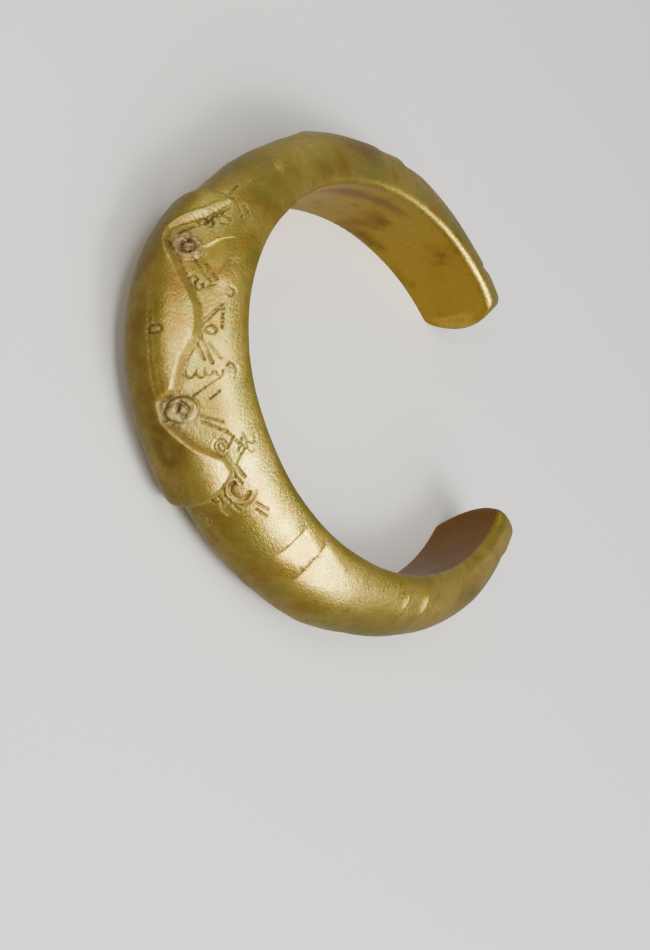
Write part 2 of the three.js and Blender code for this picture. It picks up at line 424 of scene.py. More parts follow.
@dataclass(frozen=True)
class Crest:
    """The raised pad on the back, with three lobes along its upper edge and a plain lower edge."""

    lobed_edge: tuple[Spot, ...] = (
        (-37.5, 0.0),
        (-36.6, 5.4),
        (-35.6, 6.5),
        (-29.5, 4.3),
        (-24.5, 0.3),
        (-22.0, 0.3),
        (-16.0, 3.1),
        (-11.0, 4.9),
        (-7.5, 5.85),
        (-3.5, 6.15),
        (-0.5, 5.9),
        (3.5, 4.3),
        (10.0, 2.7),
        (11.5, 0.3),
        (14.5, 0.3),
        (21.5, 3.5),
        (25.5, 6.0),
        (28.5, 6.3),
        (30.8, 5.1),
        (32.4, 2.4),
        (33.5, 0.0),
    )
    height: float = 3.42
    start_height: float = 1.0
    end_height: float = 2.4
    end_round: float = 2.4
    lobe_fall: float = 0.8
    lobe_power: float = 1.8
    lobe_reach: float = 6.3
    lobe_roll: float = 0.75
    floor_share: float = 0.9
    floor_reach: float = 7.2
    floor_power: float = 1.7
    floor_end: float = 5.0
    plain_reach: float = 8.2
    plain_fall: float = 0.7
    plain_power: float = 4.5
    plain_roll: float = 1.8
    brows: tuple[Triple, ...] = ((18.5, 8.0, 0.05), (-28.5, 6.0, 0.22))
    brow_width: float = 0.32
    crease_depth: float = 0.08
    crease_width: float = 0.24
    blur: float = 0.5
    edge_step: float = 0.25
    least_share: float = 0.1
    # Painted shade on the lobes' walls: where the dark band lies, how wide it is and how dark.
    wall_place: float = 0.2
    wall_width: float = 0.4
    wall_soil: float = 0.6
    wall_height: float = 0.8

    @property
    def start(self) -> float:
        """The station where the crest starts."""
        return self.lobed_edge[0][0]

    @property
    def end(self) -> float:
        """The station where the crest ends."""
        return self.lobed_edge[-1][0]

    def inside(self, face: OuterFace) -> np.ndarray:
        """Measures the face from the lobed edge, whose corners are eased.

        Args:
            face: the outer face's grid.

        Returns:
            How far inside the edge each point is in millimetres, negative outside it.
        """
        pace, _ = face.form.pace(BACK_LINE)
        fine = np.arange(self.start - 1.0, self.end + 1.0, self.edge_step)
        stations, reaches = zip(*self.lobed_edge)
        kernel = bell(np.arange(-3 * self.blur, 3 * self.blur, self.edge_step), self.blur)
        eased = np.convolve(np.interp(fine, stations, reaches), kernel / kernel.sum(), mode="same")
        distance = np.full(face.angle.shape, np.inf)
        for station, reach in zip(fine, eased):
            distance = np.minimum(distance, np.hypot((face.station - station) * pace, face.reach - reach))
        return np.where(face.reach < np.interp(face.station, fine, eased), distance, -distance)

    def top(self, face: OuterFace) -> np.ndarray:
        """Shapes the crest's top as if it had no edges.

        Args:
            face: the outer face's grid.

        Returns:
            Heights over the plain face, in millimetres.
        """
        share = (face.station - self.start) / (self.end - self.start) * 2.0 - 1.0
        end_height = np.where(share < 0, self.start_height, self.end_height)
        ridge = self.height + (end_height - self.height) * np.minimum(share**2, 1.0)
        reach = face.reach
        lobed = 1.0 - self.lobe_fall * np.maximum(reach / self.lobe_reach, 0.0) ** self.lobe_power
        plain = 1.0 - self.plain_fall * np.minimum(np.abs(reach) / self.plain_reach, 1.0) ** self.plain_power
        return ridge * np.where(reach > 0, np.maximum(lobed, self.least_share), plain)

    def relief(self, face: OuterFace, to_lobed: np.ndarray) -> Relief:
        """Raises the pad, with pillowed lobes over a low swelling that floors the notches.

        Args:
            face: the outer face's grid.
            to_lobed: how far inside the lobed edge each point is.

        Returns:
            The pad's relief. Its dirt share is painted shade on the lobes' walls, and dirt with painted shade
            in the crease at their foot.
        """
        pace, _ = face.form.pace(BACK_LINE)
        to_plain = self.plain_reach + face.reach
        to_end = np.minimum(face.station - self.start, self.end - face.station) * pace
        top = self.top(face)
        outwards = np.clip(face.reach / self.floor_reach, 0.0, 1.0)
        floor = self.floor_share * top * (1.0 - outwards) ** self.floor_power
        floor = floor * smooth_step(to_end / self.floor_end)
        along_edge = sum(height * bell(face.station - station, span) for station, span, height in self.brows)
        brow = along_edge * bell(to_lobed - 1.5 * self.brow_width, self.brow_width)
        lift = floor + (top - floor) * pillowed(to_lobed / self.lobe_roll) + brow
        lift = lift * rounded(to_plain / self.plain_roll) * rounded(to_end / self.end_round)
        # Where the lobes stand tall, the crease at their foot gets dirt with painted shade, and their walls
        # get painted shade.
        present = smooth_step((top - floor) / self.wall_height) * (to_end > 0.0)
        crease = bell(to_lobed + self.crease_width / 2, self.crease_width) * present
        wall = self.wall_soil * bell(to_lobed - self.wall_place, self.wall_width) * present
        return Relief(lift - self.crease_depth * crease, np.maximum(crease, wall))


@dataclass(frozen=True)
class FacetCut(Feature):
    """A flat filed cut: a step down at its line, then a facet that narrows to a point at the line's front."""

    station: float
    depth: float
    front_angle: float
    full_angle: float
    back_angle: float
    run: float
    lip: float
    lip_run: float = 5.0
    step: float = 0.7
    ease: float = 0.12
    soil: float = 0.35
    soil_place: float = 0.1
    soil_width: float = 0.25

    def relief(self, face: OuterFace) -> Relief:
        """Cuts the facet on the far side of its line and raises a slight lip on the near side.

        Args:
            face: the outer face's grid.

        Returns:
            The facet's relief.
        """
        past = (face.station - self.station) * np.sign(self.station)
        angle = np.minimum(face.angle, 180.0 - face.angle)
        share = pillowed((angle - self.front_angle) / (self.full_angle - self.front_angle))
        fade = 1.0 - smooth_step((angle - self.full_angle) / (self.back_angle - self.full_angle))
        passed = smooth_step(past / self.step + 0.5)
        left = share * fade - np.maximum(past, 0.0) / self.run
        cut = self.depth * (left + np.hypot(left, self.ease)) / 2.0 * passed * np.sqrt(share)
        lip = self.lip * share * fade * (1.0 - passed) * np.clip(1.0 + past / self.lip_run, 0.0, 1.0)
        dirt = bell(past - self.soil_place, self.soil_width) * smooth_step(2.0 * share * fade)
        return Relief(lip - cut, self.soil * dirt)


@dataclass(frozen=True)
class ArmRuns(Feature):
    """Straight runs along the arms that stand proud of the plain ring or short of it."""

    runs: tuple[tuple[float, float], ...] = (
        (-144.0, 0.0),
        (-126.0, 0.4),
        (-117.0, 0.75),
        (-106.0, 0.6),
        (-74.0, 0.6),
        (-64.0, -0.6),
        (-46.0, -0.5),
        (-36.0, 0.0),
        (72.0, 0.0),
        (84.0, -0.9),
        (100.0, -0.8),
        (112.0, -0.45),
        (124.0, 0.0),
    )
    front_angle: float = 10.0
    full_angle: float = 60.0
    slant: float = 0.35
    slant_angle: float = 78.0
    slant_start: float = 40.0
    slant_span: float = 14.0

    def relief(self, face: OuterFace) -> Relief:
        """Lifts the runs, which lie aslant on the left arm and make a ridge across its flank.

        Args:
            face: the outer face's grid.

        Returns:
            The runs' relief, which holds no dirt.
        """
        angle = np.minimum(face.angle, 180.0 - face.angle)
        share = smooth_step((angle - self.front_angle) / (self.full_angle - self.front_angle))
        on_left = np.clip((-face.station - self.slant_start) / self.slant_span, 0.0, 1.0)
        aslant = face.station - on_left * self.slant * (self.slant_angle - angle)
        stations, lifts = zip(*self.runs)
        lift = share * np.interp(aslant, stations, lifts)
        return Relief(lift, np.zeros_like(lift))


def facet_cuts() -> list[FacetCut]:
    """Lists the facets.

    Returns:
        Two pairs on the right arm, then three on the left arm, most of them worn faint.
    """
    lines = (
        (50.4, 0.55, 20.0, 36.0, 62.0, 9.0, 0.2, 4.0),
        (57.7, 0.65, 15.0, 36.0, 68.0, 11.0, 0.25, 4.0),
        (91.2, 0.3, 18.0, 30.0, 58.0, 9.0, 0.32, 2.0),
        (98.8, 0.42, 18.0, 30.0, 62.0, 11.0, 0.42, 2.0),
        (-52.8, 0.08, 40.0, 70.0, 200.0, 9.0, 0.05),
        (-93.6, 0.15, 40.0, 70.0, 200.0, 8.0, 0.1),
        (-101.2, 0.4, 34.0, 64.0, 200.0, 12.0, 0.2),
    )
    return [FacetCut(*line) for line in lines]


def chased_marks() -> list[Feature]:
    """Lists the ornament of the crest's flank and of the arms beside it.

    Returns:
        The bosses, hollows, lines, circles and ridges.
    """
    marks: list[Feature] = [
        Boss((-20.2, 70.0), height=0.5, soil=0.3),
        Boss((14.0, 73.6), radius=1.95, ring_radius=0.6, ring_stretch=1.7, ring_power=1.4),
        Dent((-19.6, 48.0), 1.7, 0.42, stretch=1.2),
        Dent((-16.5, 34.0), 2.0, -0.18, stretch=1.5),
    ]
    plain_lines = (
        ((-36.3, 62.0), (-36.3, 49.5)),
        ((-36.6, 56.0), (-40.6, 54.5)),
        ((-35.5, 46.0), (-31.8, 35.0)),
        ((-35.5, 37.0), (-33.2, 29.0)),
        ((-4.0, 51.0), (-8.2, 32.0)),
        ((-2.8, 51.5), (-7.0, 34.0)),
        ((-0.8, 51.5), (5.6, 43.0)),
        ((1.2, 45.0), (4.4, 35.0)),
        ((1.0, 55.5), (4.6, 50.0)),
        ((11.7, 64.0), (8.8, 38.5)),
        ((13.0, 50.5), (11.9, 41.0)),
        ((16.2, 61.5), (18.4, 44.5)),
        ((17.2, 62.5), (20.6, 44.0)),
        ((22.2, 40.0), (24.0, 47.5)),
        ((23.0, 32.5), (25.3, 40.0)),
        ((28.8, 51.5), (32.2, 48.5)),
        ((28.2, 46.5), (31.2, 43.5)),
        ((37.7, 45.0), (40.4, 39.0)),
        ((39.0, 48.0), (41.3, 43.8)),
        ((36.0, 76.0), (37.2, 73.0)),
        ((36.2, 65.0), (37.2, 61.5)),
        ((33.4, 72.5), (35.4, 76.0)),
    )
    marks += [Stroke(start, end) for start, end in plain_lines]
    beaded_lines = (
        ((-17.9, 63.5), (-13.0, 45.0), 0.55),
        ((-17.2, 52.0), (-13.7, 40.0), 0.55),
        ((-7.5, 31.0), (-2.5, 31.5), 0.7),
        ((20.6, 44.0), (25.5, 33.0), 0.6),
        ((25.5, 33.5), (28.6, 50.0), 0.55),
        ((-23.5, 80.0), (-26.8, 65.4), 0.85),
        ((-26.8, 65.4), (-33.0, 48.4), 0.85),
        ((-12.5, 41.0), (-12.0, 46.0), 0.6),
    )
    marks += [Stroke(start, end, width=0.17, depth=0.2, bead=bead) for start, end, bead in beaded_lines]
    loops = (
        ((-26.6, 71.0), 0.62, 1.0, 80.0, 110.0),
        ((-27.6, 66.0), 0.7, 1.1, 100.0, 100.0),
        ((-27.4, 60.3), 0.68, 0.9, 60.0, 120.0),
        ((-30.6, 55.5), 0.72, 0.8, 120.0, 60.0),
        ((-29.4, 47.5), 0.78, 1.2, 90.0, 90.0),
        ((-13.0, 61.0), 0.6, 1.0, 20.0, 90.0),
        ((-12.0, 55.0), 0.85, 0.8, 200.0, 60.0),
        ((-12.2, 49.0), 0.55, 1.0, 160.0, 120.0),
        ((-11.7, 26.0), 0.75, 0.8, 90.0, 130.0),
        ((-2.0, 42.5), 0.62, 1.4, 0.0, 0.0),
        ((7.1, 64.0), 0.72, 0.9, 190.0, 120.0),
        ((7.3, 55.0), 0.8, 0.8, 200.0, 110.0),
        ((7.0, 47.5), 0.7, 0.9, 210.0, 130.0),
        ((7.5, 38.0), 0.75, 0.8, 180.0, 140.0),
        ((7.6, 26.5), 1.15, 0.7, 60.0, 130.0),
        ((23.5, 53.0), 1.25, 0.8, 300.0, 40.0),
        ((23.5, 53.0), 0.6, 0.8, 0.0, 0.0),
        ((22.7, 24.5), 1.5, 0.6, 200.0, 150.0),
        ((25.4, 27.5), 0.9, 0.7, 240.0, 150.0),
        ((33.0, 77.5), 0.65, 1.0, 180.0, 110.0),
        ((34.3, 69.0), 0.75, 1.0, 170.0, 140.0),
        ((37.0, 101.5), 0.75, 1.5, 0.0, 0.0),
        ((-1.8, 83.5), 0.55, 1.5, 0.0, 0.0),
    )
    marks += [RingMark(*loop) for loop in loops]
    eye, eye_facing, eye_opening = (33.4, 52.5), -120.0, 110.0
    for radius, width, depth in ((1.45, 0.32, 0.4), (2.0, 0.3, -0.2), (2.45, 0.2, 0.15)):
        marks.append(RingMark(eye, radius, 1.0, eye_facing, eye_opening, width, depth))
    ridges = (
        ((-21.4, 58.0), (-23.7, 47.5), 0.26, 0.2),
        ((-23.7, 47.5), (-25.9, 35.5), 0.22, 0.16),
        ((-43.7, 9.5), (-47.3, 15.0), 0.45, 0.22),
        ((-57.4, 31.0), (-65.0, 50.5), 0.45, 0.16),
        ((-44.0, 48.5), (-50.2, 38.0), 0.5, 0.14),
    )
    marks += [Stroke(start, end, width, -height, lip=0.0, soil=0.0) for start, end, width, height in ridges]
    marks += [
        RingMark((-1.8, 84.5), 1.15, width=0.25, depth=-0.1, facing=-90.0, opening=230.0),
        Stroke((10.4, 87.0), (-3.8, 87.5), width=0.2, depth=0.13, lip=0.05, bead=0.9, soil=0.6),
        Stroke((-3.8, 87.5), (-15.3, 88.5), width=0.2, depth=0.1, lip=0.04, bead=0.9, soil=0.45),
        Stroke((57.2, 49.0), (57.9, 30.0), width=0.3, depth=0.2, bead=0.8),
        Dent((34.4, 103.0), 0.5, 0.25, dirt=0.4),
    ]
    return marks


class Zone(Enum):
    """Point attributes of the casting that its finish reads."""

    # Dirt in cuts and pits, and painted shade on the crest's lobe walls and in the crease at their foot.
    DIRT_AND_SHADE = "dirt"
    VERDIGRIS = "verdigris"
    ROSY = "rosy"
    BROWN = "brown_patina"
    UMBER = "dark_inner_face"
    INNER = "inner_face"


@dataclass(frozen=True)
class Patch:
    """A soft-edged patch of patina or dirt.

    Its spot is a station with a section angle on the outer face, or with a share of the width on the
    inner face.
    """

    zone: Zone
    spot: Spot
    radius: float
    strength: float = 1.0
    stretch: float = 1.0
    edge: float = 1.6

    def share(self, along: np.ndarray, across: np.ndarray) -> np.ndarray:
        """Gives the patch's share at distances from its spot, in millimetres."""
        distance = np.hypot(along / self.stretch, across) / self.radius
        return self.strength * smooth_step(self.edge - distance)


@dataclass
class BangleCasting:
    """The whole bangle as one closed casting."""

    form: RingForm = field(default_factory=RingForm)
    crest: Crest = field(default_factory=Crest)
    arms: ArmRuns = field(default_factory=ArmRuns)
    arm_step: float = 1.2
    crest_step: float = 0.235
    crest_span: float = 43.5
    crest_fade: float = 3.0
    line_step: float = 0.3
    line_width: float = 0.8
    row_samples: int = 8001
    end_rows: int = 6
    cap_rows: int = 12
    rim_columns: int = 8
    flank_columns: int = 90
    back_columns: int = 24
    corner_columns: int = 5
    inner_columns: int = 14
    flank_start: float = 0.075
    flank_end: float = 0.54
    end_bulge: float = 2.8
    end_round: float = 1.4
    end_round_share: float = 0.2
    bulge_run: float = 7.0
    swell: float = 0.14
    swell_size: float = 11.0
    ripple: float = 0.02
    ripple_size: float = 2.6
    wobble: float = 0.15
    wobble_size: float = 1.5
    wobble_shift: float = 31.7
    wear_size: float = 2.4
    wear_shift: float = 57.3
    wear_middle: float = 0.95
    wear_swing: float = 0.8
    wear_least: float = 0.6
    wear_most: float = 1.3
    crust: float = 0.2
    crust_size: float = 0.75
    crust_shift: float = 11.9
    crust_grit: float = 0.6
    grit_shift: float = 83.1
    pit_level: float = -0.1
    pit_soil: float = 0.9
    lobe_margin: float = 0.5
    umber_start: float = 84.0
    umber_run: float = 14.0
    weld: float = 1e-7
    patches: tuple[Patch, ...] = (
        Patch(Zone.ROSY, (-21.5, 74.0), 2.3),
        Patch(Zone.ROSY, (-20.2, 70.0), 2.0, 1.3),
        Patch(Zone.ROSY, (-28.0, 62.0), 1.7, 0.5),
        Patch(Zone.ROSY, (-12.5, 55.0), 1.3, 0.4),
        Patch(Zone.VERDIGRIS, (14.0, 79.0), 2.5, 1.05),
        Patch(Zone.BROWN, (14.0, 73.6), 2.2, 0.8),
        Patch(Zone.BROWN, (33.4, 52.5), 1.7, 0.7),
        Patch(Zone.VERDIGRIS, (-11.7, 26.0), 0.6, 0.8),
        Patch(Zone.VERDIGRIS, (7.6, 27.0), 0.8, 0.6),
        Patch(Zone.VERDIGRIS, (23.0, 26.0), 0.7, 0.4),
        Patch(Zone.VERDIGRIS, (-66.0, 62.0), 5.0, 0.3, 1.6),
        Patch(Zone.VERDIGRIS, (130.0, 17.0), 3.4, 0.25, 2.2),
        Patch(Zone.BROWN, (126.0, 34.0), 3.0, 0.7, 2.5),
        Patch(Zone.BROWN, (20.0, 90.0), 3.0, 0.9, 1.5),
        Patch(Zone.BROWN, (-87.0, 43.5), 2.2, 0.8, 1.4),
        Patch(Zone.BROWN, (-9.0, 74.0), 2.4, 0.6, 1.8),
        Patch(Zone.BROWN, (0.0, 116.0), 7.0, 0.55, 4.0),
        Patch(Zone.BROWN, (-45.0, 95.0), 4.0, 0.4, 2.0),
        Patch(Zone.BROWN, (48.0, 98.0), 5.0, 0.4, 2.0),
    )
    inner_patches: tuple[Patch, ...] = (
        Patch(Zone.UMBER, (-83.0, 0.78), 1.6, 0.75, 4.5),
        Patch(Zone.UMBER, (-99.0, 0.82), 1.3, 0.55, 4.0),
        Patch(Zone.BROWN, (-108.0, 0.45), 2.2, 0.9, 1.3),
        Patch(Zone.UMBER, (-107.0, 0.5), 1.2, 0.5, 1.2),
        Patch(Zone.UMBER, (-111.0, 0.1), 0.9, 0.7, 3.0),
        Patch(Zone.UMBER, (-116.0, 0.12), 0.8, 0.6, 2.5),
        Patch(Zone.DIRT_AND_SHADE, (-132.5, 0.26), 0.35, 1.0),
        Patch(Zone.DIRT_AND_SHADE, (-146.0, 0.45), 4.0, 0.75, 0.09),
        Patch(Zone.BROWN, (-92.0, 0.3), 2.5, 0.7, 2.5),
        Patch(Zone.BROWN, (-126.0, 0.7), 2.2, 0.5, 1.5),
        Patch(Zone.BROWN, (-140.0, 0.4), 2.4, 0.5, 1.2),
    )

    def row_plan(self) -> tuple[np.ndarray, np.ndarray, np.ndarray]:
        """Plans the rows from one terminal's middle to the other's.

        Returns:
            Each row's station, how far its section is drawn in, and how far it is pushed along the arm.
        """
        fine = np.linspace(self.form.left_end, self.form.right_end, self.row_samples)
        on_crest = smooth_step((self.crest_span - np.abs(fine)) / self.crest_fade)
        density = 1.0 / self.arm_step + on_crest / self.crest_step
        lines = [cut.station for cut in facet_cuts()]
        lines += [side * self.form.collar_station for side in (-1, 1)]
        lines += [self.form.left_end, self.form.right_end]
        for line in lines:
            density += bell(fine - line, self.line_width) / self.line_step
        spread = np.concatenate([[0.0], np.cumsum((density[1:] + density[:-1]) / 2)])
        rows = int(spread[-1] * (fine[1] - fine[0]))
        stations = np.interp(np.linspace(0.0, spread[-1], rows), spread, fine)
        turn = np.radians(np.linspace(90.0 / self.end_rows, 90.0, self.end_rows))
        rim = self.end_round_share * (1.0 - np.cos(turn))
        cap = np.linspace(self.end_round_share, 1.0, self.cap_rows)[1:]
        drawn = np.concatenate([rim, cap])
        push = np.concatenate([-self.end_round * (1.0 - np.sin(turn)), np.zeros(len(cap))])
        caps = len(drawn)
        station = np.concatenate([np.full(caps, stations[0]), stations, np.full(caps, stations[-1])])
        drawn_in = np.concatenate([drawn[::-1], np.zeros(len(stations)), drawn])
        pushed = np.concatenate([push[::-1], np.full(len(stations), -self.end_round), push])
        return station[:, None], drawn_in[:, None], pushed[:, None]

    def outer_face(self, station: np.ndarray) -> OuterFace:
        """Spreads the columns of the outer face, closest together on the ornamented flank.

        Args:
            station: one station for each row.

        Returns:
            The face's grid of stations and section angles.
        """
        shares = np.concatenate(
            [
                np.linspace(0.0, self.flank_start, self.rim_columns, endpoint=False),
                np.linspace(self.flank_start, self.flank_end, self.flank_columns, endpoint=False),
                np.linspace(self.flank_end, 1.0, self.back_columns),
            ]
        )
        thickness = self.form.thickness(station)
        start = np.degrees(np.arcsin(self.form.upper_round / thickness))
        end = 180.0 - np.degrees(np.arcsin(self.form.lower_round / thickness))
        angle = start + (end - start) * shares[None, :]
        return OuterFace(self.form, np.broadcast_to(station, angle.shape), angle)

    def outline(self, station: np.ndarray, face: OuterFace, lift: np.ndarray) -> tuple[np.ndarray, ...]:
        """Draws every row's closed section.

        Args:
            station: one station for each row.
            face: the outer face's grid.
            lift: the relief on the outer face.

        Returns:
            Outward distances, heights, and both parts of the section's normal, with the first column
            repeated at the end to close the section.
        """
        width, thickness = self.form.width(station), self.form.thickness(station)
        half = width / 2
        angle = np.radians(face.angle)
        normal_out, normal_up = half * np.sin(angle), thickness * np.cos(angle)
        size = np.hypot(normal_out, normal_up)
        normal_out, normal_up = normal_out / size, normal_up / size
        arch = (
            thickness * np.sin(angle) + normal_out * lift,
            half * (1.0 + np.cos(angle)) + normal_up * lift,
            normal_out,
            normal_up,
        )
        first, last = (tuple(part[:, place] for part in arch) for place in (slice(0, 1), slice(-1, None)))
        upper = self.corner(first, self.form.upper_round, width)
        turned = (last[0], width - last[1], last[2], -last[3])
        lower = tuple(part[:, ::-1] for part in self.corner(turned, self.form.lower_round, width))
        lower = (lower[0], width - lower[1], lower[2], -lower[3])
        climb = np.linspace(0.0, 1.0, self.inner_columns)[None, :]
        inner_height = self.form.lower_round + (width - self.form.lower_round - self.form.upper_round) * climb
        flat = np.zeros(inner_height.shape)
        blocks = zip(arch, lower, (flat, inner_height, flat - 1.0, flat), upper, first)
        return tuple(np.concatenate(block, axis=1) for block in blocks)

    def corner(
        self, arch_start: tuple[np.ndarray, ...], size: float, width: np.ndarray
    ) -> tuple[np.ndarray, ...]:
        """Rounds the section's upper corner, from the inner face to the start of the arch.

        Args:
            arch_start: the arch's first outward distance, height and normal in each row.
            size: how far below the section's top the rounding starts.
            width: the section's width in each row.

        Returns:
            Outward distances, heights and both parts of the normal.
        """
        out, height, normal_out, normal_up = arch_start
        share = np.linspace(0.0, 1.0, self.corner_columns + 2)[None, 1:-1]
        meeting = height + out * normal_out / normal_up
        start = width - size
        rise = (1.0 - share) ** 2 * start + 2.0 * share * (1.0 - share) * meeting + share**2 * height
        run = 2.0 * share * out
        climb = 2.0 * (1.0 - share) * (meeting - start) + 2.0 * share * (height - meeting)
        slope = np.hypot(run, climb)
        return share**2 * out, rise, -climb / slope, run / slope

    def unevenness(self, points: np.ndarray) -> np.ndarray:
        """Gives the slight waves of a hand-worked casting, in millimetres at each point."""
        swell = self.swell * noise_at(points, self.swell_size)
        return swell + self.ripple * noise_at(points, self.ripple_size)

    def place(self, station: np.ndarray, outward: np.ndarray, height: np.ndarray) -> np.ndarray:
        """Puts section points in space, in millimetres."""
        point, out_way, _ = self.form.axes(station)
        return np.concatenate([point + outward[..., None] * out_way, height[..., None]], axis=-1)

    def worked_face(self, face: OuterFace, plain: np.ndarray) -> tuple[np.ndarray, dict[Zone, np.ndarray]]:
        """Raises and cuts everything on the outer face.

        Args:
            face: the outer face's grid.
            plain: the plain face's points.

        Returns:
            The whole lift in millimetres, and each zone's share over the face.
        """
        to_lobed = self.crest.inside(face)
        pad = self.crest.relief(face, to_lobed)
        lift, dirt = pad.lift, pad.dirt
        for feature in [self.arms, *facet_cuts()]:
            relief = feature.relief(face)
            lift = lift + relief.lift
            dirt = np.maximum(dirt, relief.dirt)
        sway = self.wobble * noise_at(plain, self.wobble_size)
        hand = face.shaken(sway, self.wobble * noise_at(plain, self.wobble_size, self.wobble_shift))
        worn = self.wear_middle + self.wear_swing * noise_at(plain, self.wear_size, self.wear_shift)
        wear = np.clip(worn, self.wear_least, self.wear_most)
        for mark in chased_marks():
            relief = mark.relief(hand)
            lift = lift + wear * relief.lift
            dirt = np.maximum(dirt, wear * relief.dirt)
        patina = self.patina(face, to_lobed)
        grit = self.crust_grit * noise_at(plain, self.crust_size / 2, self.grit_shift)
        rough = noise_at(plain, self.crust_size, self.crust_shift) + grit
        crusted = np.maximum(patina[Zone.ROSY], patina[Zone.VERDIGRIS])
        lift = lift + self.crust * crusted * rough
        pits = self.pit_soil * crusted * (self.pit_level - rough)
        # This zone holds the dirt and the crest's painted shade on its lobe walls and creases.
        patina[Zone.DIRT_AND_SHADE] = np.clip(np.maximum(dirt, pits), 0.0, 1.0)
        return lift, patina

    def patina(self, face: OuterFace, to_lobed: np.ndarray) -> dict[Zone, np.ndarray]:
        """Lays the patches of patina, the crusts only off the lobes.

        Args:
            face: the outer face's grid.
            to_lobed: how far inside the crest's lobed edge each point is.

        Returns:
            Each zone's share over the outer face.
        """
        shares = {zone: np.zeros(face.angle.shape) for zone in Zone}
        off_pad = 1.0 - smooth_step(to_lobed / self.lobe_margin)
        for patch in self.patches:
            share = patch.share(*face.around(patch.spot))
            if patch.zone is not Zone.BROWN:
                share = share * off_pad
            shares[patch.zone] = np.maximum(shares[patch.zone], share)
        return shares

    def surface(self) -> tuple[np.ndarray, dict[Zone, np.ndarray]]:
        """Works out the casting's grid.

        Returns:
            The grid of points in metres, and the zones' shares at each point.
        """
        station, drawn_in, pushed = self.row_plan()
        face = self.outer_face(station)
        outward, height, _, _ = self.outline(station, face, np.zeros(face.angle.shape))
        arch_columns = face.angle.shape[1]
        plain = self.place(station, outward[:, :arch_columns], height[:, :arch_columns])
        lift, patina = self.worked_face(face, plain)
        outward, height, normal_out, normal_up = self.outline(station, face, lift)
        waves = self.unevenness(self.place(station, outward, height))
        outward = outward + normal_out * waves
        height = height + normal_up * waves
        half = self.form.width(station) / 2
        middle_out = self.form.thickness(station) / 2
        outward = middle_out + (outward - middle_out) * (1.0 - drawn_in)
        height = half + (height - half) * (1.0 - drawn_in)
        bulge = self.end_bulge * (1.0 - np.minimum(np.abs(height - half) / half, 1.0) ** 2) + pushed
        to_end = np.abs(self.form.end_of(station)) - np.abs(station)
        bulge = bulge * np.clip(1.0 - to_end / self.bulge_run, 0.0, 1.0) ** 2
        _, _, along_way = self.form.axes(station)
        level = np.maximum(height - self.form.underside_wear, 0.0)
        grid = self.place(station, outward, level)
        grid[..., :2] += (np.sign(station) * bulge)[..., None] * along_way
        low, high = CAD_BOX
        return np.clip(grid * MM, low, high), self.zones(station, patina, outward.shape[1])

    def zones(
        self, station: np.ndarray, patina: dict[Zone, np.ndarray], columns: int
    ) -> dict[Zone, np.ndarray]:
        """Widens the patina to the whole section and marks the inner face.

        Args:
            station: one station for each row.
            patina: each zone's share over the outer face.
            columns: how many columns the whole section has.

        Returns:
            Each zone's share over the whole grid.
        """
        whole: dict[Zone, np.ndarray] = {}
        for zone, share in patina.items():
            rows, arch_columns = share.shape
            whole[zone] = np.zeros((rows, columns))
            whole[zone][:, :arch_columns] = share
        first_inner = arch_columns + self.corner_columns
        inner = slice(first_inner, first_inner + self.inner_columns)
        whole[Zone.INNER][:, inner] = 1.0
        whole[Zone.UMBER][:, inner] = smooth_step((station - self.umber_start) / self.umber_run)
        climb = np.linspace(0.0, 1.0, self.inner_columns)[None, :]
        for patch in self.inner_patches:
            patch_station, patch_climb = patch.spot
            along_pace, _ = self.form.pace((patch_station, 0.0))
            along = (station - patch_station) * along_pace
            across = (climb - patch_climb) * self.form.width(station)
            share = patch.share(along, across)
            whole[patch.zone][:, inner] = np.maximum(whole[patch.zone][:, inner], share)
        for share in whole.values():
            share[:, -1] = share[:, 0]
        return whole

    def build(self) -> bpy.types.Object:
        """Wraps a grid round the form and closes it.

        Returns:
            The bangle's mesh object, at the origin.
        """
        grid, zones = self.surface()
        rows, columns = grid.shape[:2]
        bpy.ops.object.select_all(action="DESELECT")
        bpy.ops.mesh.primitive_grid_add(x_subdivisions=rows - 1, y_subdivisions=columns - 1, size=1.0)
        piece = bpy.context.object
        piece.name = "bangle_casting"
        mesh = piece.data
        flat = np.empty(len(mesh.vertices) * 3)
        mesh.vertices.foreach_get("co", flat)
        places = flat.reshape(-1, 3)[:, :2] + 0.5
        row = np.rint(places[:, 0] * (rows - 1)).astype(int)
        column = np.rint(places[:, 1] * (columns - 1)).astype(int)
        mesh.vertices.foreach_set("co", grid[row, column].ravel())
        for zone, share in zones.items():
            attribute = mesh.attributes.new(zone.value, "FLOAT", "POINT")
            attribute.data.foreach_set("value", share[row, column].astype(np.float32))
        bpy.ops.object.mode_set(mode="EDIT")
        bpy.ops.mesh.select_all(action="SELECT")
        bpy.ops.mesh.remove_doubles(threshold=self.weld)
        bpy.ops.mesh.normals_make_consistent(inside=False)
        bpy.ops.object.mode_set(mode="OBJECT")
        bpy.ops.object.shade_smooth()
        return piece

    def dress(self, piece: bpy.types.Object, finish: "BronzeFinish") -> None:
        """Gives the casting its finish and ties it to the frame.

        Args:
            piece: the bangle's mesh object.
            finish: the finish that it gets.
        """
        piece.data.materials.append(finish.material())
        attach(piece, "root")
        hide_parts("bangle")


